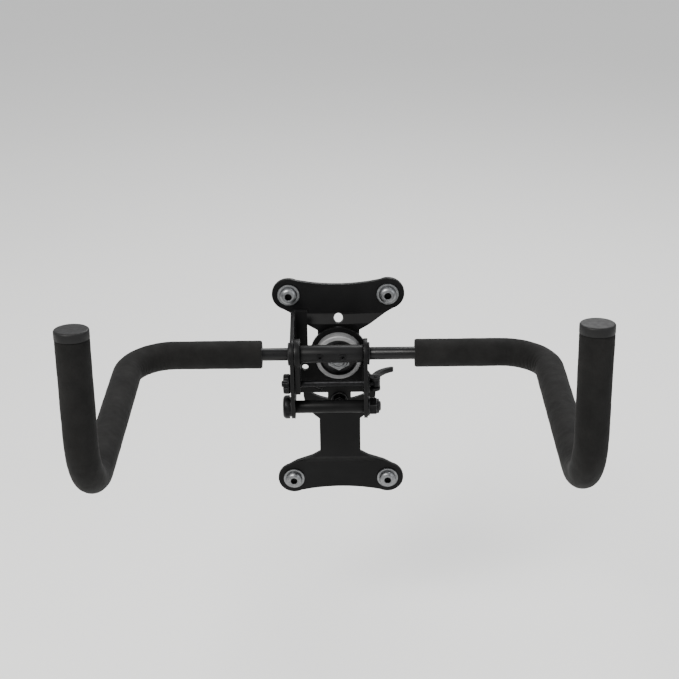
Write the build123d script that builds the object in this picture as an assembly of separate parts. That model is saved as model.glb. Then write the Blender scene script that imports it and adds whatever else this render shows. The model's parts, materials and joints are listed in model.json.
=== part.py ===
"""Folding bicycle wall rack with two padded hooks.

Millimetres. The origin is the centre of the four wall screws, on the wall plane.
+X is to the right, +Y goes into the wall, +Z is up, and the hooks reach out along -Y.
"""
import os
from math import cos, radians, sin, sqrt

from build123d import *

# Wall plate: four screws, and a waist pressed forward to clear the bolt heads behind it
SCREW_DX = 80.0
SCREW_DZ = 170.0
EAR_R = 13.5
SHEET = 3.0
JOGGLE = 6.0
JOGGLE_Z = (60.0, 68.0)
NECK_W = 34.0
LOBE_R = 30.0
WINDOW_R = 35.0
WINDOW_ANGLES = (228.0, 244.0)
WINDOW_W = 3.4
SCREW_R = 4.0
SCREW_OUT = 19.0
SCREW_NECK_R = 3.8
SCREW_HOLE_R = 4.3
SCREW_HEAD_R = 7.0
SCREW_HEAD_H = 4.4
SCREW_SOCKET = 5.0
WASHER_R = 9.0
WASHER_T = 1.6

# Swivel: the yoke turns on the wall plate about a horizontal axis through the wall
SWIVEL_Z = 38.0
SLOT_R = 42.0
SLOT_HALF_ANGLE = 30.0
PIVOT_R = 5.0
CLAMP_R = 3.0
DISC_R = 16.0
DISC_T = 3.45
RING_R = 19.0
RING_BORE_R = 15.2
RING_H = 8.5
YOKE_BACK = -12.5
YOKE_LEFT = -38.0
YOKE_RIGHT = 23.0
YOKE_STRIP_TOP = 76.0
YOKE_STRIP_W = 13.0
YOKE_LOW = 3.0
YOKE_PAD_R = 23.0
CHEEK_BEND = 1.2

# Fold: the two hooks turn together on the cheeks of the yoke
ROD_R = 5.0
ROD_Y = -50.0
ROD_Z = 54.0
BUSH_GAP = 0.05
BUSH_R = 6.5
SLEEVE_R = 7.0
SLEEVE_X = (-30.3, 19.7)
SECTOR_X = (-34.4, -30.3)
SECTOR_R = 33.0
FOLD_ANGLE = 65.0
GRUB_R = 2.5
GRUB_SOCKET = 2.5

# Quick-release skewer that locks the fold, and the bolt that ties the cheeks together
SKEWER_R = 2.5
SKEWER_Z = 28.0
STACK_GAP = 0.45
THRUST_T = 1.2
CAM_R = 4.2
CAM_OFFSET = 0.43
EYE_R = 3.0
EYE_HALF = 2.9
PIN_R = 1.3
FORK_HALF = 5.5
TIE_R = 4.0
TIE_Y = -46.0
TIE_Z = 5.5
TIE_HEAD_R = 9.5

# Hooks: a bent rod in a foam sleeve, one each side
ARM_X = 162.0
BEND_R = 35.0
REACH = 144.0
CORNER_R = 46.0
CORNER_TURN = 95.0
UPRIGHT = 71.0
FOAM_R = 11.25
FOAM_BORE_R = 5.1
FOAM_START_X = 60.0
CAP_T = 6.0

PLATE_FRONT = -JOGGLE - SHEET
YOKE_FRONT = YOKE_BACK - SHEET
CHEEK_LEFT_IN = YOKE_LEFT + SHEET
CHEEK_RIGHT_IN = YOKE_RIGHT - SHEET
SECTOR_SLOT_R = ROD_Z - SKEWER_Z
LEVER_X = YOKE_RIGHT + THRUST_T + STACK_GAP + CAM_OFFSET + CAM_R


def rod_x(radius, x0, x1, y, z):
    """A round bar along X."""
    return extrude(Plane(origin=(x0, y, z), z_dir=(1, 0, 0)) * Circle(radius), x1 - x0)


def rod_y(radius, y0, y1, x, z):
    """A round bar along Y."""
    return extrude(Plane(origin=(x, y0, z), z_dir=(0, 1, 0)) * Circle(radius), y1 - y0)


def rod_z(radius, z0, z1, x, y):
    """A round bar along Z."""
    return extrude(Plane(origin=(x, y, z0), z_dir=(0, 0, 1)) * Circle(radius), z1 - z0)


def hex_x(across, x0, x1, y, z):
    """A hexagon along X, by its size across the flats."""
    plane = Plane(origin=(x0, y, z), z_dir=(1, 0, 0))
    return extrude(plane * RegularPolygon(across / 2, 6, major_radius=False), x1 - x0)


def hex_y(across, y0, y1, x, z):
    """A hexagon along Y, by its size across the flats."""
    plane = Plane(origin=(x, y0, z), z_dir=(0, 1, 0))
    return extrude(plane * RegularPolygon(across / 2, 6, major_radius=False), y1 - y0)


def washer_y(outer, inner, y0, y1, x, z):
    ring = rod_y(outer, y0, y1, x, z) - rod_y(inner, y0 - 1, y1 + 1, x, z)
    return chamfer(ring.edges().filter_by(GeomType.CIRCLE).group_by(SortBy.RADIUS)[-1], 0.3)


def washer_x(outer, inner, x0, x1, y, z):
    ring = rod_x(outer, x0, x1, y, z) - rod_x(inner, x0 - 1, x1 + 1, y, z)
    return chamfer(ring.edges().filter_by(GeomType.CIRCLE).group_by(SortBy.RADIUS)[-1], 0.3)


def arc_slot(radius, start, end, width):
    """A flat slot along an arc about the origin, between two angles in degrees."""
    path = CenterArc((0, 0), radius, start, end - start)
    return SlotArc(path, width)


def window():
    """A short curved window beside the swivel slot, cut through the plate and the yoke."""
    slot = arc_slot(WINDOW_R, WINDOW_ANGLES[0], WINDOW_ANGLES[1], WINDOW_W)
    return extrude(Plane.XZ * Pos(0, SWIVEL_Z) * slot, 20)


def screw_places():
    return [(sx * SCREW_DX / 2, sz * SCREW_DZ / 2) for sx in (-1, 1) for sz in (-1, 1)]


# ---------------------------------------------------------------- wall mount

def plate_outline():
    """Two bars with round ears, joined by a waist with a round lobe for the slot."""
    ear_x = SCREW_DX / 2
    ear_z = SCREW_DZ / 2
    shape = Rectangle(NECK_W, SCREW_DZ) + Circle(LOBE_R)
    for side in (-1, 1):
        top = side * (ear_z + EAR_R)
        root = side * (ear_z - 29)
        lines = ThreePointArc((-ear_x, top), (0, top - side * 5), (ear_x, top))
        lines += Polyline((ear_x, top), (ear_x + 9, side * (ear_z - 10)), (NECK_W / 2, root),
                          (-NECK_W / 2, root), (-ear_x - 9, side * (ear_z - 10)), (-ear_x, top))
        shape += make_face(lines)
        for ear in (-1, 1):
            shape += Pos(ear * ear_x, side * ear_z) * Circle(EAR_R)
    return shape


def plate_profile():
    """The side view of the pressing: ears on the wall, waist standing off it."""
    z_in, z_out = JOGGLE_Z
    end = SCREW_DZ / 2 + EAR_R + 1
    back = [(0, end), (0, z_out), (-JOGGLE, z_in), (-JOGGLE, -z_in), (0, -z_out), (0, -end)]
    front = [(y - SHEET, z + (1.0 if 0 < z < end else -1.0 if -end < z < 0 else 0))
             for y, z in reversed(back)]
    outline = make_face(Polyline(*back, *front, close=True))
    bends = [v for v in outline.vertices() if abs(v.Y) < end - 1]
    return fillet(bends, 2.5)


def wall_plate():
    end = SCREW_DZ / 2 + EAR_R + 1
    blank = extrude(Plane.XZ * plate_outline(), end)
    pressing = extrude(Plane.YZ * plate_profile(), 70, both=True)
    plate = pressing & blank
    for x, z in screw_places():
        plate -= rod_y(SCREW_HOLE_R, -20, 1, x, z)
    plate -= rod_y(PIVOT_R + 0.1, -20, 1, 0, SWIVEL_Z)
    plate -= rod_y(3.6, -20, 1, 0, SWIVEL_Z + 27)
    slot = arc_slot(SLOT_R, 270 - SLOT_HALF_ANGLE, 270 + SLOT_HALF_ANGLE, 2 * CLAMP_R + 0.6)
    plate -= extrude(Plane.XZ * Pos(0, SWIVEL_Z) * slot, 20)
    return plate - window()


def wall_screw(x, z):
    """A button-head machine screw; its shank stands out behind the plate, into the wall."""
    head_y = -SHEET - WASHER_T
    shank = rod_y(SCREW_R, 0, SCREW_OUT, x, z)
    shank = chamfer(shank.edges().filter_by(GeomType.CIRCLE).sort_by(Axis.Y)[-1], 0.9)
    shank += rod_y(SCREW_NECK_R, head_y, 0, x, z)
    dome = rod_y(SCREW_HEAD_R, head_y - SCREW_HEAD_H, head_y, x, z)
    rim = dome.edges().filter_by(GeomType.CIRCLE).sort_by(Axis.Y)[0]
    dome = fillet(rim, 3.4)
    socket = hex_y(SCREW_SOCKET, head_y - 5, head_y - 1.2, x, z)
    return dome + shank - socket


def wall_screws():
    return Compound(children=[wall_screw(x, z) for x, z in screw_places()])


def wall_washers():
    y0 = -SHEET - WASHER_T
    rings = [washer_y(WASHER_R, SCREW_R + 0.2, y0, -SHEET, x, z) for x, z in screw_places()]
    return Compound(children=rings)


def pivot_bolt():
    """The bolt that the yoke swivels on: low head behind the plate, thread forward."""
    head = rod_y(11.0, -JOGGLE, -1.5, 0, SWIVEL_Z)
    head = chamfer(head.edges().filter_by(GeomType.CIRCLE).sort_by(Axis.Y)[-1], 1.5)
    shank = rod_y(PIVOT_R, -30.5, -JOGGLE, 0, SWIVEL_Z)
    shank = chamfer(shank.edges().filter_by(GeomType.CIRCLE).sort_by(Axis.Y)[0], 1.0)
    return head + shank


def pivot_washer():
    return washer_y(10.0, PIVOT_R + 0.2, YOKE_FRONT - 5.05, YOKE_FRONT - 3.05, 0, SWIVEL_Z)


def pivot_nut():
    """A self-locking nut: hexagon with a round collar in front."""
    back = YOKE_FRONT - 5.05
    body = hex_y(17, back - 6.5, back, 0, SWIVEL_Z)
    collar = rod_y(7.6, back - 9.0, back - 6.5, 0, SWIVEL_Z)
    collar = fillet(collar.edges().filter_by(GeomType.CIRCLE).sort_by(Axis.Y)[0], 1.2)
    return body + collar - rod_y(PIVOT_R + 0.02, back - 10, back + 1, 0, SWIVEL_Z)


def friction_disc():
    return washer_y(DISC_R, PIVOT_R + 0.3, PLATE_FRONT - DISC_T, PLATE_FRONT, 0, SWIVEL_Z)


# -------------------------------------------------------------------- swivel

def upright_block(x0, x1, z0, z1):
    """A flat rectangle between two sides and two heights."""
    return Pos((x0 + x1) / 2, (z0 + z1) / 2) * Rectangle(x1 - x0, z1 - z0)


def yoke_base_outline():
    """A round pad about the swivel axis, a tall strip at the left and a tab below."""
    shoulder, tab_r = 44.0, 9.5
    tab_z = SWIVEL_Z - SLOT_R
    shape = Pos(0, SWIVEL_Z) * Circle(YOKE_PAD_R)
    shape += upright_block(YOKE_LEFT, YOKE_RIGHT, YOKE_LOW, shoulder)
    shape += upright_block(YOKE_LEFT, YOKE_LEFT + YOKE_STRIP_W, YOKE_LOW, YOKE_STRIP_TOP)
    shape += upright_block(-tab_r, tab_r, tab_z, YOKE_LOW)
    return shape + Pos(0, tab_z) * Circle(tab_r)


def cheek_outline(top):
    """A side cheek: lobes round the rod, the skewer and the tie bolt, and the bend."""
    lobes = Pos(ROD_Y, ROD_Z) * Circle(12.0)
    lobes += Pos(ROD_Y, SKEWER_Z) * Circle(11.0)
    lobes += Pos(TIE_Y, TIE_Z) * Circle(TIE_HEAD_R)
    body = Polyline((YOKE_BACK, YOKE_LOW), (YOKE_BACK, top), (YOKE_FRONT - 2, top),
                    (ROD_Y + 3, ROD_Z + 11.6), (ROD_Y - 11.9, ROD_Z - 1),
                    (ROD_Y - 10.9, SKEWER_Z - 1), (TIE_Y - 9.0, TIE_Z - 3),
                    (TIE_Y, TIE_Z - TIE_HEAD_R), (YOKE_FRONT - 8, 2), close=True)
    return lobes + make_face(body)


def yoke_fold():
    """The plan of the folded sheet: a channel with round bends, open to the front."""
    depth = 80.0
    width = YOKE_RIGHT - YOKE_LEFT
    middle = (YOKE_RIGHT + YOKE_LEFT) / 2
    outer = Pos(middle, YOKE_BACK - depth / 2) * Rectangle(width, depth)
    outer = fillet(outer.vertices().group_by(Axis.Y)[-1], 4.0)
    inner = Pos(middle, YOKE_FRONT - depth / 2) * Rectangle(width - 2 * SHEET, depth + 2)
    inner = Pos(0, -1) * inner
    return outer - fillet(inner.vertices().group_by(Axis.Y)[-1], CHEEK_BEND)


def yoke():
    """The swivelling bracket, one folded sheet of steel."""
    body = extrude(Plane.XY.offset(-30) * yoke_fold(), 130)
    bend = SHEET + CHEEK_BEND
    keep = extrude(Plane.XZ.offset(-YOKE_BACK) * yoke_base_outline(), bend)
    keep += extrude(Plane.YZ.offset(YOKE_LEFT) * cheek_outline(YOKE_STRIP_TOP), bend)
    keep += extrude(Plane.YZ.offset(YOKE_RIGHT - bend) * cheek_outline(50.0), bend)
    body &= keep
    for x in (YOKE_LEFT, CHEEK_RIGHT_IN):
        body -= rod_x(BUSH_R, x - 1, x + SHEET + 1, ROD_Y, ROD_Z)
        body -= rod_x(SKEWER_R + 0.08, x - 1, x + SHEET + 1, ROD_Y, SKEWER_Z)
        body -= rod_x(TIE_R + 0.1, x - 1, x + SHEET + 1, TIE_Y, TIE_Z)
    body -= rod_y(PIVOT_R + 0.05, -20, -10, 0, SWIVEL_Z)
    body -= rod_y(CLAMP_R + 0.1, -20, -10, 0, SWIVEL_Z - SLOT_R)
    body -= rod_y(2.6, -20, -10, YOKE_LEFT + 10.5, SWIVEL_Z - 12)
    return body - window()


def hub_ring():
    """A turned cup round the pivot nut, with a thick bright rim."""
    cup = rod_y(RING_R, YOKE_FRONT - RING_H, YOKE_FRONT, 0, SWIVEL_Z)
    cup = fillet(cup.edges().filter_by(GeomType.CIRCLE).sort_by(Axis.Y)[0], 1.2)
    cup -= rod_y(RING_BORE_R, YOKE_FRONT - RING_H - 1, YOKE_FRONT - 3, 0, SWIVEL_Z)
    return cup - rod_y(PIVOT_R + 0.05, -30, -10, 0, SWIVEL_Z)


def clamp_bolt():
    """The bolt that clamps the swivel angle; it slides along the slot in the wall plate."""
    z = SWIVEL_Z - SLOT_R
    head = rod_y(7.0, -JOGGLE + 0.05, -2.0, 0, z)
    head = fillet(head.edges().filter_by(GeomType.CIRCLE).sort_by(Axis.Y)[-1], 1.5)
    return head + rod_y(CLAMP_R, YOKE_FRONT - 10, -JOGGLE + 0.05, 0, z)


def clamp_washer():
    return washer_y(7.0, CLAMP_R + 0.1, YOKE_FRONT - 1.5, YOKE_FRONT, 0, SWIVEL_Z - SLOT_R)


def clamp_nut():
    z = SWIVEL_Z - SLOT_R
    back = YOKE_FRONT - 1.5
    nut = hex_y(10, back - 5.5, back, 0, z)
    collar = rod_y(4.6, back - 7.2, back - 5.5, 0, z)
    return nut + collar - rod_y(CLAMP_R + 0.02, back - 9, back + 1, 0, z)


def cheek_bush(x_face, outward):
    """A flanged nylon bush in a cheek, with its flange on the outer face."""
    x0, x1 = sorted((x_face, x_face - outward * SHEET))
    bush = rod_x(BUSH_R, x0, x1, ROD_Y, ROD_Z)
    f0, f1 = sorted((x_face, x_face + outward * 1.6))
    flange = rod_x(9.0, f0, f1, ROD_Y, ROD_Z)
    flange = chamfer(flange.edges().filter_by(GeomType.CIRCLE), 0.4)
    return bush + flange - rod_x(ROD_R + BUSH_GAP, x0 - 5, x1 + 5, ROD_Y, ROD_Z)


def tie_bolt():
    """The bolt across the foot of the yoke, with a large low round head at the left."""
    head = rod_x(TIE_HEAD_R, YOKE_LEFT - 7.0, YOKE_LEFT - 1.6, TIE_Y, TIE_Z)
    head = fillet(head.edges().filter_by(GeomType.CIRCLE).sort_by(Axis.X)[0], 3.0)
    head -= hex_x(6.0, YOKE_LEFT - 8, YOKE_LEFT - 4, TIE_Y, TIE_Z)
    shank = rod_x(TIE_R, YOKE_LEFT - 1.6, YOKE_RIGHT + 10.5, TIE_Y, TIE_Z)
    shank = chamfer(shank.edges().filter_by(GeomType.CIRCLE).sort_by(Axis.X)[-1], 0.8)
    return head + shank


def tie_washers():
    left = washer_x(8.0, TIE_R + 0.1, YOKE_LEFT - 1.6, YOKE_LEFT, TIE_Y, TIE_Z)
    right = washer_x(8.0, TIE_R + 0.1, YOKE_RIGHT, YOKE_RIGHT + 1.6, TIE_Y, TIE_Z)
    return Compound(children=[left, right])


def tie_nut():
    x0 = YOKE_RIGHT + 1.6
    nut = hex_x(13, x0, x0 + 5.5, TIE_Y, TIE_Z)
    collar = rod_x(5.9, x0 + 5.5, x0 + 7.5, TIE_Y, TIE_Z)
    return nut + collar - rod_x(TIE_R + 0.02, x0 - 1, x0 + 9, TIE_Y, TIE_Z)


def tube_between(radius, bore, y, z):
    """A spacer tube between the inner faces of the cheeks."""
    tube = rod_x(radius, CHEEK_LEFT_IN, CHEEK_RIGHT_IN, y, z)
    return tube - rod_x(bore, CHEEK_LEFT_IN - 1, CHEEK_RIGHT_IN + 1, y, z)


def thrust_washer():
    return washer_x(8.0, SKEWER_R + 0.08, YOKE_RIGHT, YOKE_RIGHT + THRUST_T, ROD_Y, SKEWER_Z)


# ---------------------------------------------------------------------- arms

def sector_point(radius, angle):
    """A point of the lock sector: the angle runs from straight down towards the wall."""
    return (ROD_Y + radius * sin(radians(angle)), ROD_Z - radius * cos(radians(angle)))


def lock_sector():
    """The slotted plate that turns with the hooks past the skewer."""
    first, last = -12.0, FOLD_ANGLE + 12.0
    rim = [sector_point(SECTOR_R, a) for a in (first, (first + last) / 2, last)]
    edge = ThreePointArc(*rim) + Polyline(rim[2], sector_point(12.0, last + 25),
                                          sector_point(12.0, first - 40), rim[0])
    shape = make_face(edge) + Pos(ROD_Y, ROD_Z) * Circle(12.0)
    slot = arc_slot(SECTOR_SLOT_R, 270, 270 + FOLD_ANGLE, 2 * SKEWER_R + 0.3)
    shape -= Pos(ROD_Y, ROD_Z) * slot
    shape -= Pos(ROD_Y, ROD_Z) * Circle(ROD_R + 0.02)
    return extrude(Plane.YZ.offset(SECTOR_X[0]) * shape, SECTOR_X[1] - SECTOR_X[0])


def hub_sleeve():
    """The tube that joins the two rods, with a tapped hole for each grub screw."""
    x0, x1 = SLEEVE_X
    tube = rod_x(SLEEVE_R, x0, x1, ROD_Y, ROD_Z)
    tube = chamfer(tube.edges().filter_by(GeomType.CIRCLE), 0.6)
    tube -= rod_x(ROD_R + 0.02, x0 - 1, x1 + 1, ROD_Y, ROD_Z)
    for x in grub_places():
        tube -= rod_y(GRUB_R, ROD_Y - 12, ROD_Y, x, ROD_Z)
    return tube


def grub_places():
    middle = (SLEEVE_X[0] + SLEEVE_X[1]) / 2
    return [middle - 9.0, middle + 9.0]


def grub_screws():
    screws = []
    for x in grub_places():
        body = rod_y(GRUB_R - 0.02, ROD_Y - SLEEVE_R - 0.3, ROD_Y - ROD_R - 0.05, x, ROD_Z)
        socket = hex_y(GRUB_SOCKET, ROD_Y - SLEEVE_R - 1, ROD_Y - SLEEVE_R + 1.1, x, ROD_Z)
        screws.append(body - socket)
    return Compound(children=screws)


def arm_path(side, start_x, upright):
    """The centre line of one hook, from start_x out to the top of its upright."""
    turn = radians(CORNER_TURN)
    y_bend = ROD_Y - BEND_R
    y_corner = y_bend - REACH
    diag = sqrt(0.5)
    bend_mid = (side * (ARM_X - BEND_R * (1 - diag)), ROD_Y - BEND_R * (1 - diag), ROD_Z)
    corner_mid = (side * ARM_X, y_corner - CORNER_R * sin(turn / 2),
                  ROD_Z + CORNER_R * (1 - cos(turn / 2)))
    corner_end = (side * ARM_X, y_corner - CORNER_R * sin(turn),
                  ROD_Z + CORNER_R * (1 - cos(turn)))
    tip = (side * ARM_X, corner_end[1] - upright * cos(turn), corner_end[2] + upright * sin(turn))
    root = (side * start_x, ROD_Y, ROD_Z)
    bend_start = (side * (ARM_X - BEND_R), ROD_Y, ROD_Z)
    bend_end = (side * ARM_X, y_bend, ROD_Z)
    corner_start = (side * ARM_X, y_corner, ROD_Z)
    path = Line(root, bend_start) + ThreePointArc(bend_start, bend_mid, bend_end)
    path += Line(bend_end, corner_start)
    path += ThreePointArc(corner_start, corner_mid, corner_end)
    path += Line(corner_end, tip)
    return path, root, tip


def swept_round(side, start_x, upright, radius):
    path, root, _ = arm_path(side, start_x, upright)
    return sweep(Plane(origin=root, z_dir=(side, 0, 0)) * Circle(radius), path=path)


def arm_rod(side):
    joint_x = (SLEEVE_X[0] + SLEEVE_X[1]) / 2
    return swept_round(side, side * joint_x + 0.5, UPRIGHT - 2.5, ROD_R)


def foam_sleeve(side):
    outside = swept_round(side, FOAM_START_X, UPRIGHT - CAP_T, FOAM_R)
    return outside - swept_round(side, FOAM_START_X, UPRIGHT - CAP_T, FOAM_BORE_R)


def end_cap(side):
    """A moulded cap over the top end of the rod and its foam."""
    turn = radians(CORNER_TURN)
    _, _, tip = arm_path(side, FOAM_START_X, UPRIGHT)
    axis = (0, -cos(turn), sin(turn))
    base = tuple(t - CAP_T * a for t, a in zip(tip, axis))
    cap = extrude(Plane(origin=base, z_dir=axis) * Circle(FOAM_R), CAP_T)
    cap = fillet(cap.edges().filter_by(GeomType.CIRCLE).sort_by(Axis.Z)[-1], 1.4)
    return cap - extrude(Plane(origin=base, z_dir=axis) * Circle(FOAM_BORE_R), CAP_T - 2.4)


# ------------------------------------------------------ skewer and its lever

def skewer_rod():
    """The skewer, with a round eye at the right for the lever pin."""
    rod = rod_x(SKEWER_R, YOKE_LEFT - 7.5, LEVER_X, ROD_Y, SKEWER_Z)
    rod = chamfer(rod.edges().filter_by(GeomType.CIRCLE).sort_by(Axis.X)[0], 0.6)
    eye = rod_z(EYE_R, SKEWER_Z - EYE_HALF, SKEWER_Z + EYE_HALF, LEVER_X, ROD_Y)
    return rod + eye - rod_z(PIN_R, SKEWER_Z - 5, SKEWER_Z + 5, LEVER_X, ROD_Y)


def skewer_nut():
    """The round adjusting nut at the left end, with grooves for the fingers."""
    x1 = YOKE_LEFT - STACK_GAP
    nut = rod_x(8.0, x1 - 5.6, x1, ROD_Y, SKEWER_Z)
    nut = chamfer(nut.edges().filter_by(GeomType.CIRCLE), 0.8)
    for i in range(12):
        a = radians(30 * i)
        nut -= rod_x(1.0, x1 - 10, x1 - 1.6, ROD_Y + 8.2 * cos(a), SKEWER_Z + 8.2 * sin(a))
    return nut - rod_x(SKEWER_R + 0.02, x1 - 10, x1 + 1, ROD_Y, SKEWER_Z)


def lever_pin():
    pin = rod_z(PIN_R, SKEWER_Z - FORK_HALF - 0.5, SKEWER_Z + FORK_HALF + 0.5, LEVER_X, ROD_Y)
    return chamfer(pin.edges().filter_by(GeomType.CIRCLE), 0.3)


def lever_point(x, y):
    """A point of the lever's plan, measured from its pin."""
    return (LEVER_X + x, ROD_Y + y)


def lever_outline():
    """The lever in plan: a round cam on the pin and an arm that arches back and outward."""
    cam = Pos(LEVER_X - CAM_OFFSET, ROD_Y) * Circle(CAM_R)
    root_in, root_out = lever_point(-3.9, 3.0), lever_point(0.2, 4.1)
    tip_in, tip_out = lever_point(12.4, 26.2), lever_point(13.6, 23.4)
    edge = ThreePointArc(root_in, lever_point(0.8, 17.6), tip_in)
    edge += ThreePointArc(tip_in, lever_point(14.7, 25.4), tip_out)
    edge += ThreePointArc(tip_out, lever_point(4.2, 15.6), root_out)
    edge += Polyline(root_out, lever_point(0, 0), root_in)
    return cam + make_face(edge)


def lever_side():
    """The lever from the side: deep at the cam, tapering to a thin tip."""
    half = FORK_HALF
    points = [(-8, half), (4, half), (12, 2.4), (32, 1.5), (32, -1.5), (12, -2.4), (4, -half),
              (-8, -half)]
    outline = make_face(Polyline(*[(ROD_Y + y, SKEWER_Z + z) for y, z in points], close=True))
    bends = [v for v in outline.vertices() if ROD_Y < v.X < ROD_Y + 20]
    return extrude(Plane.YZ * fillet(bends, 3.0), 80)


def qr_lever():
    """The cam lever, forked round the eye of the skewer."""
    lever = extrude(Plane.XY.offset(SKEWER_Z - FORK_HALF) * lever_outline(), 2 * FORK_HALF)
    lever &= lever_side()
    lever -= rod_z(PIN_R + 0.03, SKEWER_Z - 10, SKEWER_Z + 10, LEVER_X, ROD_Y)
    mouth_half = EYE_HALF + 0.35
    mouth = rod_z(EYE_R + 0.4, SKEWER_Z - mouth_half, SKEWER_Z + mouth_half, LEVER_X, ROD_Y)
    for turn in range(0, 160, 10):
        channel = Pos(-4, 0, 0) * Box(8, 2 * SKEWER_R + 0.8, 2 * mouth_half)
        mouth += Pos(LEVER_X, ROD_Y, SKEWER_Z) * Rot(0, 0, turn) * channel
    return lever - mouth


PARTS = {
    "wall_plate": wall_plate,
    "wall_screws": wall_screws,
    "wall_washers": wall_washers,
    "pivot_bolt": pivot_bolt,
    "pivot_washer": pivot_washer,
    "pivot_nut": pivot_nut,
    "friction_disc": friction_disc,
    "yoke": yoke,
    "hub_ring": hub_ring,
    "clamp_bolt": clamp_bolt,
    "clamp_washer": clamp_washer,
    "clamp_nut": clamp_nut,
    "left_bush": lambda: cheek_bush(YOKE_LEFT, -1),
    "right_bush": lambda: cheek_bush(YOKE_RIGHT, 1),
    "tie_bolt": tie_bolt,
    "tie_washers": tie_washers,
    "tie_nut": tie_nut,
    "tie_spacer": lambda: tube_between(5.2, TIE_R + 0.1, TIE_Y, TIE_Z),
    "thrust_washer": thrust_washer,
    "lock_sector": lock_sector,
    "hub_sleeve": hub_sleeve,
    "grub_screws": grub_screws,
    "left_arm_rod": lambda: arm_rod(-1),
    "right_arm_rod": lambda: arm_rod(1),
    "left_foam_sleeve": lambda: foam_sleeve(-1),
    "right_foam_sleeve": lambda: foam_sleeve(1),
    "left_end_cap": lambda: end_cap(-1),
    "right_end_cap": lambda: end_cap(1),
    "skewer_rod": skewer_rod,
    "skewer_nut": skewer_nut,
    "lever_pin": lever_pin,
    "qr_lever": qr_lever,
}

os.makedirs("parts", exist_ok=True)
for name, make in PARTS.items():
    export_step(make(), f"parts/{name}.step")
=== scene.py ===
"""Looks of the folding bicycle wall rack: foam, coats, screws, floor, lights and camera."""
import json
from math import cos, pi, radians, sin, tau

import bmesh
import bpy
from mathutils import Matrix, Vector, noise


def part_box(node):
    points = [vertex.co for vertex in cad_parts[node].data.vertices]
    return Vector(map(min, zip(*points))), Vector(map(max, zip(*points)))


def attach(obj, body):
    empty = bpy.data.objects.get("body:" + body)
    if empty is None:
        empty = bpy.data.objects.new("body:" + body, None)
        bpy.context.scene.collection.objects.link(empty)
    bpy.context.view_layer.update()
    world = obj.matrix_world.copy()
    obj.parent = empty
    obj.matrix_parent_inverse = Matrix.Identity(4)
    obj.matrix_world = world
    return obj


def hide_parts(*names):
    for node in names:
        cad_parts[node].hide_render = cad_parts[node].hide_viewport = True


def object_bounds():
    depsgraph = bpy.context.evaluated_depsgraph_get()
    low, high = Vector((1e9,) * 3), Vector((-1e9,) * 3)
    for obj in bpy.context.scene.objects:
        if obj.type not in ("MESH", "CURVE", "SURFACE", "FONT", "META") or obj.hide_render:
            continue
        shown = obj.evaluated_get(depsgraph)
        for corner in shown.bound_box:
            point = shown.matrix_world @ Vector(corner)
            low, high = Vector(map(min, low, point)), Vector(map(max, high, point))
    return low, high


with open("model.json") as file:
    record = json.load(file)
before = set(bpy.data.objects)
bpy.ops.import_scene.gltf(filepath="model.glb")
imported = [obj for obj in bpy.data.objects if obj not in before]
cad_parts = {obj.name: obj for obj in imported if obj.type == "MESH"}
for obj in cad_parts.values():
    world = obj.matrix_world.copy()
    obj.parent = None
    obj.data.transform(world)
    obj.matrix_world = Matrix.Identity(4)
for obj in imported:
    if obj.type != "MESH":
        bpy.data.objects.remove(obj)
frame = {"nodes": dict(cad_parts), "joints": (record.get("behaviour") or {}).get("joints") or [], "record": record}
CAD_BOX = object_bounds()
MM = 0.001
NODES = frame["nodes"]


def joint_point(name):
    """The place of a joint in the row frame."""
    found = [j for j in frame["joints"] if j["name"] == name][0]
    return Vector(found["pos_m"])


def body_of_node(node):
    """The body that a CAD node moves with."""
    for body, names in frame["record"]["behaviour"]["bodies"].items():
        if node in names:
            return body
    raise KeyError(node)


BOLTS = [m for m in frame["record"]["mounts"] if m["name"] == "wall_bolts"][0]["dims"]
SCREW_DX, SCREW_DZ = BOLTS["spacing_x_mm"] * MM, BOLTS["spacing_y_mm"] * MM
STUD_R = BOLTS["stud_r_mm"] * MM

# The wall screws' socket across its flats, and the hub ring's bore, as the CAD model has them
SCREW_SOCKET = 5.0 * MM
RING_BORE_R = 15.2 * MM

# Where a socket's shade starts and ends, as shares of the socket's width, and the turned lines' density
SOCKET_SHADE = (0.54, 0.62)
TURNED_LINES = 3200.0


# ------------------------------------------------------------------ materials

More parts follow.
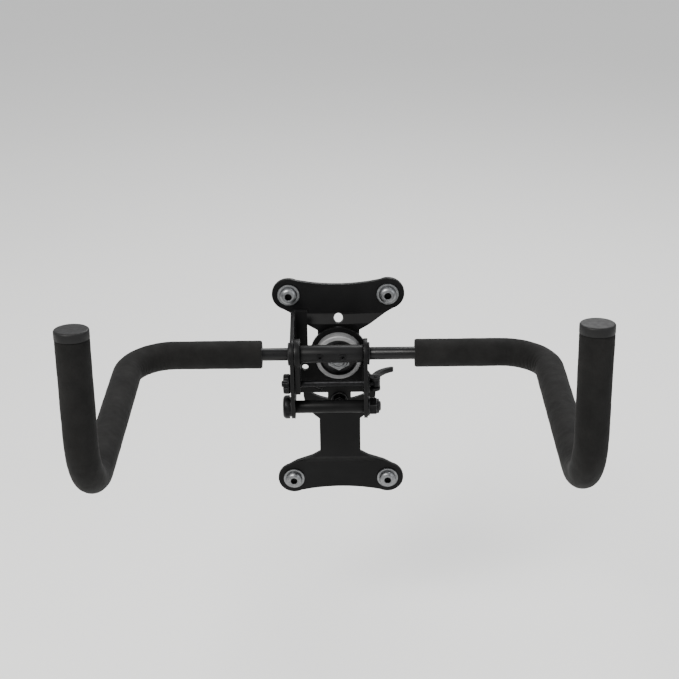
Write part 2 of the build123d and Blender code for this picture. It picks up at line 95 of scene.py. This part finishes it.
class Nodes:
    """A short way to write a material's node tree."""

    def __init__(self, name):
        self.material = bpy.data.materials.new(name)
        self.material.use_nodes = True
        self.tree = self.material.node_tree
        self.tree.nodes.clear()
        self.out = self.add("ShaderNodeOutputMaterial")
        self.shader = self.add("ShaderNodeBsdfPrincipled")
        self.link(self.shader, "BSDF", self.out, "Surface")
        self.coords = self.add("ShaderNodeTexCoord")

    def add(self, kind, **inputs):
        """A new node, with values on its inputs."""
        node = self.tree.nodes.new(kind)
        for key, value in inputs.items():
            node.inputs[key].default_value = value
        return node

    def link(self, a, out, b, into):
        """Join an output of one node to an input of another."""
        self.tree.links.new(a.outputs[out], b.inputs[into])

    def place(self, scale=(1, 1, 1), offset=(0, 0, 0)):
        """Object coordinates, moved and then scaled."""
        mapping = self.add("ShaderNodeMapping")
        mapping.vector_type = "POINT"
        mapping.inputs["Scale"].default_value = scale
        mapping.inputs["Location"].default_value = [o * s for o, s in zip(offset, scale)]
        self.link(self.coords, "Object", mapping, "Vector")
        return mapping

    def noise(self, size_mm, detail=3.0, rough=0.55, stretch=(1, 1, 1)):
        """Cloudy noise of about the given size."""
        mapping = self.place(scale=stretch)
        tex = self.add("ShaderNodeTexNoise", Scale=1 / (size_mm * MM), Detail=detail, Roughness=rough)
        self.link(mapping, "Vector", tex, "Vector")
        return tex, "Fac"

    def cells(self, size_mm, feature="F1", randomness=1.0):
        """Cells of about the given size."""
        mapping = self.place()
        tex = self.add("ShaderNodeTexVoronoi", Scale=1 / (size_mm * MM), Randomness=randomness)
        tex.feature = feature
        self.link(mapping, "Vector", tex, "Vector")
        return tex, "Distance"

    def spread(self, source, low, high, at=(0.3, 0.7)):
        """A value mapped from the range at to the range low..high."""
        node = self.add("ShaderNodeMapRange")
        node.inputs["From Min"].default_value = at[0]
        node.inputs["From Max"].default_value = at[1]
        node.inputs["To Min"].default_value = low
        node.inputs["To Max"].default_value = high
        self.link(source[0], source[1], node, "Value")
        return node, "Result"

    def mix(self, source, dark, light):
        """A colour between two, by a value."""
        node = self.add("ShaderNodeMix")
        node.data_type = "RGBA"
        node.inputs["A"].default_value = (*dark, 1)
        node.inputs["B"].default_value = (*light, 1)
        self.link(source[0], source[1], node, "Factor")
        return node, "Result"

    def multiply(self, colour, factor):
        """A colour made darker by a value from 0 to 1."""
        node = self.add("ShaderNodeMix")
        node.data_type = "RGBA"
        node.blend_type = "MULTIPLY"
        node.inputs["Factor"].default_value = 1.0
        self.link(colour[0], colour[1], node, "A")
        self.link(factor[0], factor[1], node, "B")
        return node, "Result"

    def calculate(self, operation, source, second=0.0):
        """Arithmetic on a value, with a number or another value."""
        node = self.add("ShaderNodeMath")
        node.operation = operation
        self.link(source[0], source[1], node, 0)
        if isinstance(second, tuple):
            self.link(second[0], second[1], node, 1)
        else:
            node.inputs[1].default_value = second
        return node, "Value"

    def bump(self, source, depth_mm, strength=1.0, under=None):
        """A bump from a height, on top of the bump under it."""
        node = self.add("ShaderNodeBump", Strength=strength, Distance=depth_mm * MM)
        self.link(source[0], source[1], node, "Height")
        if under:
            self.link(under[0], under[1], node, "Normal")
        return node, "Normal"

    def use(self, source, socket):
        """Feed a socket of the shader."""
        self.link(source[0], source[1], self.shader, socket)

    def set(self, **values):
        """Plain values on the shader's sockets, whose names have _ for a space."""
        for key, value in values.items():
            self.shader.inputs[key.replace("_", " ")].default_value = value


def powder_coat(name, dark, light, rough=(0.38, 0.52), peel=0.03):
    """Powder coat: orange peel, fine grain, and faint dusty patches."""
    m = Nodes(name)
    patches = m.noise(38, 5, 0.6)
    m.use(m.mix(m.spread(patches, 0, 1, (0.35, 0.7)), dark, light), "Base Color")
    m.use(m.spread(m.noise(9, 4), *rough), "Roughness")
    peel_bump = m.bump(m.noise(1.5, 2, 0.5), peel, 0.8)
    m.use(m.bump(m.noise(0.3, 2, 0.6), 0.008, 0.6, peel_bump), "Normal")
    m.set(Specular_IOR_Level=0.12)
    return m.material


def worn_and_highlit_edge(name, coat, bare, wear):
    """The rounded edge of a coated sheet: a thin glossy coat, rubbed through in places. Where the coat is lighter
    than the sheet's faces, that is a painted edge highlight.
    """
    m = Nodes(name)
    rubbed = m.spread(m.noise(3.5, 6, 0.68), 0, 1, wear)
    m.use(m.mix(rubbed, coat, bare), "Base Color")
    m.use(m.spread(m.noise(1.2, 3), 0.24, 0.42), "Roughness")
    m.use(m.bump(m.noise(0.8, 3, 0.6), 0.02, 0.7), "Normal")
    m.set(Specular_IOR_Level=0.4)
    return m.material


def drawn_rod(name, dark, light):
    """A smooth coat over drawn bar, with faint rubbed lines along it."""
    m = Nodes(name)
    lines = m.noise(1.2, 4, 0.6, (0.06, 1, 1))
    m.use(m.mix(m.spread(lines, 0, 1, (0.35, 0.75)), dark, light), "Base Color")
    m.use(m.spread(m.noise(6, 4), 0.26, 0.4), "Roughness")
    m.use(m.bump(lines, 0.012, 0.5), "Normal")
    m.set(Specular_IOR_Level=0.2)
    return m.material


def zinc(name, dark=(0.13, 0.133, 0.138), light=(0.25, 0.255, 0.26), rough=(0.3, 0.46), sockets=False):
    """Zinc plate: a cloudy metal with a fine crystal mottle, and, when sockets is set, painted shade in the wall
    screws' sockets.
    """
    m = Nodes(name)
    colour = m.mix(m.spread(m.noise(2.5, 5, 0.65), 0, 1, (0.3, 0.7)), dark, light)
    if sockets:
        # painted shade: the colour is darkened in the wall screws' sockets
        colour = m.multiply(colour, socket_shade(m))
    m.use(colour, "Base Color")
    m.use(m.spread(m.cells(0.8), *rough, at=(0.1, 0.8)), "Roughness")
    m.use(m.bump(m.noise(0.25, 2, 0.5), 0.006, 0.6), "Normal")
    m.set(Metallic=1.0)
    return m.material


def socket_shade(m):
    """Painted shade: near 0 in the wall screws' sockets and 1 elsewhere, by the distance from a screw's axis."""
    split = m.add("ShaderNodeSeparateXYZ")
    m.link(m.coords, "Object", split, "Vector")
    folded = m.add("ShaderNodeCombineXYZ")
    for axis, half in (("X", SCREW_DX / 2), ("Z", SCREW_DZ / 2)):
        size = m.calculate("ABSOLUTE", (split, axis))
        offset = m.calculate("SUBTRACT", size, half)
        m.link(offset[0], offset[1], folded, axis)
    length = m.add("ShaderNodeVectorMath")
    length.operation = "LENGTH"
    m.link(folded, "Vector", length, 0)
    start, end = [SCREW_SOCKET * share for share in SOCKET_SHADE]
    near = m.spread((length, "Value"), 0.03, 1.0, at=(start, end))
    behind = m.calculate("GREATER_THAN", (split, "Y"), -STUD_R)
    return m.calculate("MAXIMUM", near, behind)


def turned_metal(name, centre):
    """Lathe-turned metal: fine rings about the swivel axis, and painted shade darkening the bore."""
    m = Nodes(name)
    place = m.place(offset=(-centre.x, 0, -centre.z), scale=(1, 0, 1))
    length = m.add("ShaderNodeVectorMath")
    length.operation = "LENGTH"
    m.link(place, "Vector", length, 0)
    rings = m.add("ShaderNodeTexNoise", Scale=TURNED_LINES, Detail=3.0, Roughness=0.6)
    rings.noise_dimensions = "1D"
    m.link(length, "Value", rings, "W")
    wear = m.noise(5, 4, 0.6)
    colour = m.mix(m.spread(wear, 0, 1, (0.3, 0.75)), (0.20, 0.20, 0.205), (0.31, 0.31, 0.31))
    # painted shade: the colour is darkened inside the bore's radius
    rim = m.spread((length, "Value"), 0.12, 1.0, at=(RING_BORE_R + 0.1 * MM, RING_BORE_R + 0.5 * MM))
    m.use(m.multiply(colour, rim), "Base Color")
    m.use(m.spread((rings, "Fac"), 0.42, 0.6), "Roughness")
    m.use(m.bump((rings, "Fac"), 0.012, 0.7), "Normal")
    m.set(Metallic=0.45)
    return m.material


def moulded(name, dark, light, rough=(0.42, 0.55), grain=0.02):
    """Moulded plastic: a fine spark-eroded grain."""
    m = Nodes(name)
    m.use(m.mix(m.spread(m.noise(14, 4), 0, 1), dark, light), "Base Color")
    m.use(m.spread(m.noise(3, 3), *rough), "Roughness")
    m.use(m.bump(m.noise(0.45, 3, 0.6), grain, 0.8), "Normal")
    m.set(Specular_IOR_Level=0.2)
    return m.material


def closed_foam(name):
    """Closed-cell foam: a matte skin with fine cells, open pores with painted shade in them, and faint scuffs."""
    m = Nodes(name)
    patches = m.noise(22, 6, 0.62)
    pores = m.cells(1.1)
    tone = m.spread(patches, 0, 1, (0.32, 0.7))
    body = m.mix(tone, (0.0042, 0.0041, 0.0039), (0.0085, 0.0082, 0.0078))
    # painted shade: the colour is darkened in the pores' pits
    m.use(m.multiply(body, m.spread(pores, 0.6, 1, (0.05, 0.4))), "Base Color")
    m.use(m.spread(m.noise(7, 4), 0.78, 0.93), "Roughness")
    skin = m.bump(m.noise(0.55, 3, 0.6), 0.05, 0.8)
    m.use(m.bump(pores, 0.09, 0.7, skin), "Normal")
    m.set(Sheen_Weight=0.015, Sheen_Roughness=0.5, Specular_IOR_Level=0.14)
    return m.material


def floor_finish(name):
    """A plain pale floor, with only a breath of variation."""
    m = Nodes(name)
    m.use(m.mix(m.noise(400, 3), (0.82, 0.82, 0.805), (0.85, 0.85, 0.835)), "Base Color")
    m.set(Roughness=0.85)
    return m.material


SWIVEL = joint_point("swivel_angle")
MATERIALS = {
    "black_steel": powder_coat("black_steel", (0.0018, 0.0018, 0.0019), (0.0046, 0.0046, 0.0048)),
    "rod_steel": drawn_rod("rod_steel", (0.003, 0.003, 0.0032), (0.008, 0.008, 0.0083)),
    "sleeve_steel": powder_coat("sleeve_steel", (0.003, 0.003, 0.0032), (0.008, 0.008, 0.0083), (0.34, 0.46)),
    # zinc_steel carries painted shade in the wall screws' sockets
    "zinc_steel": zinc("zinc_steel", sockets=True),
    "black_bolt": zinc("black_bolt", (0.008, 0.008, 0.0083), (0.020, 0.020, 0.021), (0.34, 0.5)),
    "satin_metal": turned_metal("satin_metal", SWIVEL),
    "nylon": moulded("nylon", (0.006, 0.006, 0.0063), (0.012, 0.012, 0.0125)),
    "foam": closed_foam("foam"),
    "cap_plastic": moulded("cap_plastic", (0.0045, 0.0045, 0.0046), (0.0085, 0.0085, 0.0086),
                           (0.46, 0.6), 0.03),
    "lever_black": powder_coat("lever_black", (0.004, 0.004, 0.0042), (0.009, 0.009, 0.0095),
                               (0.3, 0.42), 0.015),
}
# Edge materials: rubbed-through wear, and on black steel a coat lighter than its faces as a painted edge highlight
EDGES = {
    "black_steel": worn_and_highlit_edge("black_steel_edge", (0.008, 0.008, 0.0083), (0.085, 0.084, 0.082), (0.56, 0.74)),
    "lever_black": worn_and_highlit_edge("lever_edge", (0.008, 0.008, 0.0083), (0.11, 0.11, 0.108), (0.5, 0.7)),
    "black_bolt": worn_and_highlit_edge("bolt_edge", (0.012, 0.012, 0.0125), (0.13, 0.13, 0.13), (0.5, 0.7)),
}
SLOT_OF = {part["node"]: part["material_slot"] for part in frame["record"]["subparts"]}

# Points nearer than this, in metres, are one. Edges sharper than the angle get a rounding of this width.
WELD_DISTANCE = 1e-6
EDGE_WIDTH = 0.25 * MM
EDGE_SEGMENTS = 2
EDGE_ANGLE = radians(32)


def dress_nodes():
    """Every CAD node gets its slot's material, closed-up edges and a small round edge, which on
    black parts is rubbed, and on black steel is also painted lighter as an edge highlight."""
    for name, node in NODES.items():
        slot = SLOT_OF[name]
        node.data.materials.clear()
        node.data.materials.append(MATERIALS[slot])
        weld = node.modifiers.new("weld", "WELD")
        weld.merge_threshold = WELD_DISTANCE
        bevel = node.modifiers.new("edge", "BEVEL")
        bevel.width = EDGE_WIDTH
        bevel.segments = EDGE_SEGMENTS
        bevel.limit_method = "ANGLE"
        bevel.angle_limit = EDGE_ANGLE
        if slot in EDGES:
            node.data.materials.append(EDGES[slot])
            bevel.material = 1


# ----------------------------------------------------------------- foam sleeves

# The hooks' driving dimensions, as the CAD model has them
ROD_Y, ROD_Z = -50 * MM, 54 * MM
ARM_X, BEND_R, REACH = 162 * MM, 35 * MM, 144 * MM
CORNER_R, CORNER_TURN, UPRIGHT = 46 * MM, radians(95), 71 * MM
CAP_T = 6 * MM
FOAM_R, FOAM_START = 11.25 * MM, 60 * MM

# The sleeve's mesh: the distance between its rings, and the points round a ring
FOAM_STEP = 1.3 * MM
FOAM_AROUND = 72

# The skin stays inside the CAD radius, which leaves room for its unevenness: pairs of height and frequency
SKIN_INSET = 0.18 * MM
SKIN_NOISE = ((0.16 * MM, 90), (0.09 * MM, 420))

# Creases inside the bends: their spacing, the length over which they fade, and their depths in millimetres
CREASE_SPACING = 5.2 * MM
CREASE_FADE = 14 * MM
CREASE_BASE, CREASE_DEPTH = 0.25, 0.55

# A cut end: its rounded lip, then rings inwards as shares of the foam's radius and depths in millimetres
LIP_DEPTH, LIP_LENGTH = 0.55 * MM, 1.4 * MM
CUT_RINGS = ((0.93, 0.0), (0.8, 0.12), (0.62, 0.05), (0.52, 0.15), (0.472, 1.2), (0.468, 5.0))
CUT_ROUGHNESS = 0.12 * MM


def arm_stations(side, step):
    """Points along one foam sleeve: place, direction, side vector and curvature, by length."""
    pieces = [
        ("line", ARM_X - BEND_R - FOAM_START),
        ("bend", BEND_R * pi / 2),
        ("line", REACH),
        ("corner", CORNER_R * CORNER_TURN),
        ("line", UPRIGHT - CAP_T),
    ]
    place = Vector((side * FOAM_START, ROD_Y, ROD_Z))
    along = Vector((side, 0, 0))
    stations = []
    done = 0.0
    for kind, length in pieces:
        count = max(2, round(length / step))
        radius = {"bend": BEND_R, "corner": CORNER_R}.get(kind)
        if kind == "bend":
            inward, axis = Vector((0, -1, 0)), Vector((0, 0, -side))
        elif kind == "corner":
            inward, axis = Vector((0, 0, 1)), Vector((-1, 0, 0))
        for i in range(count):
            s = length * i / count
            if radius is None:
                stations.append((done + s, place + along * s, along.copy(), Vector(), 0.0))
            else:
                turn = Matrix.Rotation(s / radius, 3, axis)
                centre = place + inward * radius
                stations.append((done + s, centre + turn @ (-inward * radius), turn @ along,
                                 turn @ inward, 1 / radius))
        if radius is None:
            place = place + along * length
        else:
            turn = Matrix.Rotation(length / radius, 3, axis)
            centre = place + inward * radius
            place = centre + turn @ (-inward * radius)
            along = turn @ along
        done += length
    stations.append((done, place.copy(), along.copy(), Vector(), 0.0))
    return stations


def smooth_bend(stations, reach):
    """Each station's inward vector, faded in and out so that creases don't start abruptly."""
    result = []
    for s, _, along, _, _ in stations:
        total = Vector()
        weight = 0.0
        for s2, _, _, inward, curve in stations:
            near = 1 - abs(s2 - s) / reach
            if near > 0:
                total += inward * near * (1 if curve else 0)
                weight += near
        total /= weight
        result.append(total - along * total.dot(along))
    return result


def foam_sleeve(side):
    """One foam sleeve: a soft tube with cells, creases inside its bends and cut ends."""
    name = "left" if side < 0 else "right"
    stations = arm_stations(side, FOAM_STEP)
    bends = smooth_bend(stations, CREASE_FADE)
    total = stations[-1][0]
    seed = Vector((side * 7.3, 2.1, 5.7))
    bm = bmesh.new()
    rings = []
    side_axis = Vector((0, 0, 1))
    for (s, place, along, _, _), bend in zip(stations, bends):
        side_axis = (side_axis - along * side_axis.dot(along)).normalized()
        other = along.cross(side_axis)
        ring = []
        end = min(s, total - s)
        lip = LIP_DEPTH * max(0.0, 1 - end / LIP_LENGTH) ** 2
        for i in range(FOAM_AROUND):
            a = tau * i / FOAM_AROUND
            out = side_axis * cos(a) + other * sin(a)
            radius = FOAM_R - SKIN_INSET - lip
            inside = max(0.0, out.dot(bend))
            point = place + out * radius
            for height, frequency in SKIN_NOISE:
                radius += height * noise.noise(point * frequency + seed)
            crease = sin(s / CREASE_SPACING * tau + 1.6 * noise.noise(point * 60 + seed))
            radius -= inside ** 2 * (CREASE_BASE + CREASE_DEPTH * max(0.0, crease) ** 3) * MM
            ring.append(bm.verts.new(place + out * radius))
        rings.append(ring)
    for r0, r1 in zip(rings, rings[1:]):
        for i in range(FOAM_AROUND):
            j = (i + 1) % FOAM_AROUND
            bm.faces.new((r0[i], r0[j], r1[j], r1[i]))
    for ring, station, sign in ((rings[0], stations[0], -1), (rings[-1], stations[-1], 1)):
        close_end(bm, ring, station, sign, seed)
    sleeve = finish_piece(bm, f"{name}_foam", "foam")
    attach(sleeve, body_of_node(f"{name}_foam_sleeve"))
    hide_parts(f"{name}_foam_sleeve")
    return sleeve


def close_end(bm, ring, station, sign, seed):
    """A cut end: rings in to the bore, slightly uneven, and a short way down the bore."""
    place, along = station[1], station[2]
    previous = ring
    for part, depth in CUT_RINGS:
        inner = []
        for v in ring:
            out = v.co - place
            out -= along * out.dot(along)
            target = out.normalized() * FOAM_R * part
            rough = CUT_ROUGHNESS * noise.noise((place + target) * 500 + seed)
            inner.append(bm.verts.new(place + target - along * sign * (depth * MM + abs(rough))))
        for i in range(len(ring)):
            j = (i + 1) % len(ring)
            bm.faces.new((previous[i], previous[j], inner[j], inner[i]))
        previous = inner
    bm.faces.new(previous)


# ----------------------------------------------------------------- wall screws

SCREW_AROUND = 48
THREAD_PITCH = 1.25 * MM
THREAD_DEPTH = 0.62 * MM
THREAD_STEPS = 8
END_CHAMFER = 0.9 * MM

# The head's dome and outer edge, how much thinner the neck's radius is than the shank's, the socket's floor
# from the head's underside, and the depth of its drill point
DOME_H, DOME_STEPS = 3.4 * MM, 10
HEAD_EDGE = 0.25 * MM
NECK_GAP = 0.2 * MM
SOCKET_FLOOR, SOCKET_POINT = 1.2 * MM, 0.6 * MM


def hexagon_radius(angle, across):
    """How far a hexagon's side is from its centre, in one direction."""
    return across / 2 / cos((angle + pi / 6) % (pi / 3) - pi / 6)


def thread_radius(y, angle, end):
    """A helical V thread that fades in at the wall and is chamfered at its end."""
    turn = (y / THREAD_PITCH - angle / tau) % 1.0
    crest = min(1.0, max(0.0, 1.35 - 2.7 * abs(turn - 0.5)))
    fade = min(1.0, y / THREAD_PITCH)
    radius = STUD_R - THREAD_DEPTH * (1 - crest) * fade
    return min(radius, STUD_R - END_CHAMFER + (end - y))


def screw_rings():
    """A button-head screw from the middle of its socket to its end: a place along +Y and a
    function that gives the radius at an angle."""
    head_top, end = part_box("wall_screws")[0].y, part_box("wall_screws")[1].y
    head_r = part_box("wall_screws")[1].x - SCREW_DX / 2
    head_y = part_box("wall_washers")[0].y
    neck = STUD_R - NECK_GAP

    def round_ring(y, radius):
        return y, lambda angle: radius

    def hex_ring(y, across):
        return y, lambda angle: hexagon_radius(angle, across)

    rings = [hex_ring(head_y - SOCKET_FLOOR, SCREW_SOCKET * 0.96),
             hex_ring(head_top + 0.35 * MM, SCREW_SOCKET),
             round_ring(head_top + 0.02 * MM, SCREW_SOCKET * 0.62)]
    for i in range(DOME_STEPS + 1):
        a = pi / 2 * i / DOME_STEPS
        rings.append(round_ring(head_top + DOME_H * (1 - cos(a)), head_r - DOME_H * (1 - sin(a))))
    rings += [round_ring(head_y - HEAD_EDGE, head_r), round_ring(head_y, head_r - HEAD_EDGE),
              round_ring(head_y, neck), round_ring(-0.1 * MM, neck)]
    count = round(end / THREAD_PITCH * THREAD_STEPS)
    for i in range(count + 1):
        y = end * i / count
        rings.append((y, lambda angle, y=y: thread_radius(y, angle, end)))
    return rings


def wall_screws():
    """The four wall screws, with real threads in place of the plain shanks."""
    bm = bmesh.new()
    rings = screw_rings()
    for sx in (-1, 1):
        for sz in (-1, 1):
            lathe(bm, rings, Vector((sx * SCREW_DX / 2, 0, sz * SCREW_DZ / 2)))
    screws = finish_piece(bm, "threaded_wall_screws", "zinc_steel")
    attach(screws, body_of_node("wall_screws"))
    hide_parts("wall_screws")
    return screws


def lathe(bm, rings, centre):
    """A closed skin through the rings round an axis along +Y, with a fan at each end."""
    loops = []
    for y, radius in rings:
        loop = []
        for i in range(SCREW_AROUND):
            a = tau * i / SCREW_AROUND
            r = radius(a)
            loop.append(bm.verts.new(centre + Vector((r * cos(a), y, r * sin(a)))))
        loops.append(loop)
    for l0, l1 in zip(loops, loops[1:]):
        for i in range(SCREW_AROUND):
            j = (i + 1) % SCREW_AROUND
            bm.faces.new((l0[i], l0[j], l1[j], l1[i]))
    for loop, y in ((loops[0], rings[0][0] + SOCKET_POINT), (loops[-1], rings[-1][0])):
        middle = bm.verts.new(centre + Vector((0, y, 0)))
        for i in range(SCREW_AROUND):
            bm.faces.new((loop[i], loop[(i + 1) % SCREW_AROUND], middle))


SMOOTH_ANGLE = radians(35)


def finish_piece(bm, name, slot):
    """Close a bmesh into a smooth-shaded object with its slot's material."""
    bmesh.ops.recalc_face_normals(bm, faces=bm.faces)
    mesh = bpy.data.meshes.new(name)
    bm.to_mesh(mesh)
    bm.free()
    mesh.set_sharp_from_angle(angle=SMOOTH_ANGLE)
    for face in mesh.polygons:
        face.use_smooth = True
    piece = bpy.data.objects.new(name, mesh)
    bpy.context.scene.collection.objects.link(piece)
    mesh.materials.append(MATERIALS[slot])
    return piece


# ---------------------------------------------------------- stage, light, camera

# Half the floor's side, and how far it lies under the rack, in metres
FLOOR_HALF = 40.0
FLOOR_DROP = 0.16

WORLD_TINT = (0.98, 0.985, 1.0)
WORLD_STRENGTH = 0.84
LIGHT_TARGET = (0, -0.12, 0.05)


def add_floor():
    """A wide pale floor under the rack."""
    mesh = bpy.data.meshes.new("floor")
    size, low = FLOOR_HALF, CAD_BOX[0].z - FLOOR_DROP
    mesh.from_pydata([(-size, -size, low), (size, -size, low), (size, size, low), (-size, size, low)],
                     [], [(0, 1, 2, 3)])
    floor = bpy.data.objects.new("floor", mesh)
    bpy.context.scene.collection.objects.link(floor)
    mesh.materials.append(floor_finish("floor_finish"))


def add_area(name, place, target, size, power, tint=(1, 1, 1)):
    """A soft rectangular lamp that faces the target."""
    data = bpy.data.lights.new(name, "AREA")
    data.shape = "RECTANGLE"
    data.size, data.size_y = size
    data.energy = power
    data.color = tint
    lamp = bpy.data.objects.new(name, data)
    bpy.context.scene.collection.objects.link(lamp)
    lamp.location = place
    lamp.rotation_mode = "QUATERNION"
    lamp.rotation_quaternion = (Vector(target) - Vector(place)).to_track_quat("-Z", "Y")
    return lamp


def light_scene():
    """An even studio: a pale world, and a key, a fill and a rim lamp."""
    world = bpy.data.worlds.new("studio")
    bpy.context.scene.world = world
    world.use_nodes = True
    background = world.node_tree.nodes["Background"]
    background.inputs["Color"].default_value = (*WORLD_TINT, 1)
    background.inputs["Strength"].default_value = WORLD_STRENGTH
    add_area("key", (-0.7, -1.0, 1.3), LIGHT_TARGET, (0.7, 0.7), 36, (1.0, 0.985, 0.96))
    add_area("fill", (1.2, -0.9, 0.7), LIGHT_TARGET, (0.8, 0.8), 7, (0.95, 0.97, 1.0))
    add_area("rim", (0.3, 0.9, 1.1), LIGHT_TARGET, (0.9, 0.5), 16)


# The camera looks at the origin from in front and above. Its sensor and lens are in millimetres.
CAMERA_DISTANCE = 1.211
CAMERA_ELEVATION = radians(26.3)
CAMERA_AZIMUTH = radians(0.6)
CAMERA_ROLL = radians(0.9)
CAMERA_SENSOR = 36
CAMERA_LENS = 77
CAMERA_SHIFT = 0.07
CAMERA_NEAR = 0.01


def add_camera():
    """The scene's camera, with its slight roll."""
    data = bpy.data.cameras.new("camera")
    data.sensor_width = CAMERA_SENSOR
    data.lens = CAMERA_LENS
    data.clip_start = CAMERA_NEAR
    camera = bpy.data.objects.new("camera", data)
    bpy.context.scene.collection.objects.link(camera)
    e, a = CAMERA_ELEVATION, CAMERA_AZIMUTH
    back = Vector((cos(e) * sin(a), -cos(e) * cos(a), sin(e)))
    camera.location = back * CAMERA_DISTANCE
    look = (-back).to_track_quat("-Z", "Y").to_matrix()
    roll = Matrix.Rotation(-CAMERA_ROLL, 3, "Z")
    camera.rotation_mode = "QUATERNION"
    camera.rotation_quaternion = (look @ roll).to_quaternion()
    data.shift_y = CAMERA_SHIFT
    bpy.context.scene.camera = camera


dress_nodes()
for hand in (-1, 1):
    foam_sleeve(hand)
wall_screws()
add_floor()
light_scene()
add_camera()
